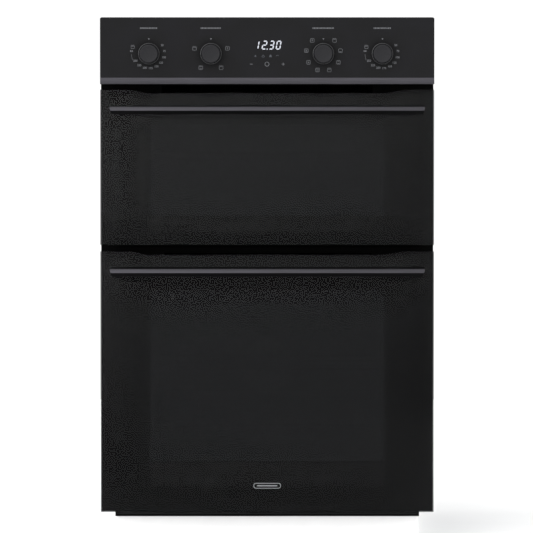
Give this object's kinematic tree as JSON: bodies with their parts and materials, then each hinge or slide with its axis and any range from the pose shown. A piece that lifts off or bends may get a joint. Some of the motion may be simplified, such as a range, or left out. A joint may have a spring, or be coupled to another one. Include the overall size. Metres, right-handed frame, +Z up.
{
  "type": "double wall oven",
  "caption": "Built-in double oven: a low top oven over a tall main oven, drop-down black glass doors, bar handles, rotary knobs and a clock on a top fascia.",
  "frame": {"origin": "on the surface it stands on, under the centre of the bounding box", "axes": "+Z up; -Y is the front, where the doors and knobs are; +X is the right-hand side as seen from the front"},
  "size_m": [0.595, 0.613, 0.894],
  "materials": {
    "black_glass": "polished black safety glass, printed from behind",
    "clear_glass": "clear heat-resistant glass",
    "dark_aluminium": "satin black anodised",
    "knob_plastic": "satin black",
    "black_plastic": "moulded, matte",
    "black_enamel": "black paint, semi-gloss",
    "cavity_enamel": "speckled grey-blue vitreous enamel",
    "tray_enamel": "black vitreous enamel",
    "zinc_steel": "galvanised sheet steel",
    "hinge_steel": "zinc-plated",
    "element_steel": "dark heat-tinted sheath",
    "chromed_wire": "chromed",
    "motor_metal": "plain",
    "ceramic": "glazed ceramic",
    "gasket_rubber": "woven-faced silicone",
    "mineral_wool": "fibrous blanket"
  },
  "bodies": {
    "cabinet": {"base_pan": "zinc_steel", "side_panels": "zinc_steel", "top_cover": "zinc_steel", "rear_panel": "zinc_steel", "front_frame": "black_enamel", "upper_cavity": "cavity_enamel", "lower_cavity": "cavity_enamel", "cavity_insulation": "mineral_wool", "door_gaskets": "gasket_rubber", "top_air_duct": "zinc_steel", "middle_air_duct": "zinc_steel", "blower_motor": "motor_metal", "fan_motor": "motor_metal", "fan_baffle": "cavity_enamel", "ring_element": "element_steel", "grill_elements": "element_steel", "base_elements": "element_steel", "lamp_holders": "ceramic", "lamp_lenses": "clear_glass", "temperature_probes": "element_steel", "shelf_guides": "chromed_wire", "control_fascia": "black_glass", "fascia_strip": "dark_aluminium", "fascia_carrier": "zinc_steel", "timer_module": "black_plastic", "function_selectors": "black_plastic", "thermostats": "motor_metal", "trim_lips": "dark_aluminium", "terminal_block": "black_plastic", "hinge_arms": "hinge_steel", "hinge_pins": "hinge_steel", "hinge_cassettes": "zinc_steel", "casing_screws": "hinge_steel"},
    "upper_door": {"upper_outer_glass": "black_glass", "upper_inner_panes": "clear_glass", "upper_door_stiles": "black_enamel", "upper_door_rails": "black_enamel", "upper_handle_bar": "dark_aluminium", "upper_handle_posts": "dark_aluminium", "upper_hinge_housings": "hinge_steel"},
    "lower_door": {"lower_outer_glass": "black_glass", "lower_inner_panes": "clear_glass", "lower_door_stiles": "black_enamel", "lower_door_rails": "black_enamel", "lower_handle_bar": "dark_aluminium", "lower_handle_posts": "dark_aluminium", "lower_hinge_housings": "hinge_steel"},
    "upper_shelf": {"upper_wire_shelf": "chromed_wire"},
    "lower_shelf": {"lower_wire_shelf": "chromed_wire"},
    "tray": {"baking_tray": "tray_enamel"},
    "oven_fan": {"convection_fan": "zinc_steel"},
    "blower_wheel": {"blower_impeller": "zinc_steel"},
    "upper_temperature_control": {"upper_temperature_knob": "knob_plastic", "upper_temperature_spindle": "hinge_steel"},
    "upper_function_control": {"upper_function_knob": "knob_plastic", "upper_function_spindle": "hinge_steel"},
    "lower_function_control": {"lower_function_knob": "knob_plastic", "lower_function_spindle": "hinge_steel"},
    "lower_temperature_control": {"lower_temperature_knob": "knob_plastic", "lower_temperature_spindle": "hinge_steel"}
  },
  "joints": [
    {"name": "upper_door_hinge", "type": "hinge", "parent": "cabinet", "child": "upper_door", "pos_m": [0, -0.2405, 0.5087], "axis": [1, 0, 0], "range_deg": [0, 90], "stiffness_Nm_per_rad": 2, "springref_deg": -20.05},
    {"name": "lower_door_hinge", "type": "hinge", "parent": "cabinet", "child": "lower_door", "pos_m": [0, -0.2405, 0.0308], "axis": [1, 0, 0], "range_deg": [0, 90], "stiffness_Nm_per_rad": 6, "springref_deg": -20.05},
    {"name": "upper_temperature_turn", "type": "hinge", "parent": "cabinet", "child": "upper_temperature_control", "pos_m": [-0.2105, -0.2715, 0.8295], "axis": [0, 1, 0], "range_deg": [0, 300]},
    {"name": "upper_function_turn", "type": "hinge", "parent": "cabinet", "child": "upper_function_control", "pos_m": [-0.1, -0.2715, 0.8295], "axis": [0, 1, 0], "continuous": true},
    {"name": "lower_function_turn", "type": "hinge", "parent": "cabinet", "child": "lower_function_control", "pos_m": [0.1, -0.2715, 0.8295], "axis": [0, 1, 0], "continuous": true},
    {"name": "lower_temperature_turn", "type": "hinge", "parent": "cabinet", "child": "lower_temperature_control", "pos_m": [0.205, -0.2715, 0.8295], "axis": [0, 1, 0], "range_deg": [0, 300]},
    {"name": "upper_shelf_slide", "type": "slide", "parent": "cabinet", "child": "upper_shelf", "axis": [0, -1, 0], "range_m": [0, 0.012]},
    {"name": "lower_shelf_slide", "type": "slide", "parent": "cabinet", "child": "lower_shelf", "axis": [0, -1, 0], "range_m": [0, 0.012]},
    {"name": "tray_slide", "type": "slide", "parent": "cabinet", "child": "tray", "axis": [0, -1, 0], "range_m": [0, 0.012]},
    {"name": "oven_fan_spin", "type": "hinge", "parent": "cabinet", "child": "oven_fan", "pos_m": [0, 0.19, 0.24335], "axis": [0, 1, 0], "continuous": true},
    {"name": "blower_spin", "type": "hinge", "parent": "cabinet", "child": "blower_wheel", "pos_m": [0, 0.1015, 0.764], "axis": [0, 0, 1], "continuous": true}
  ]
}
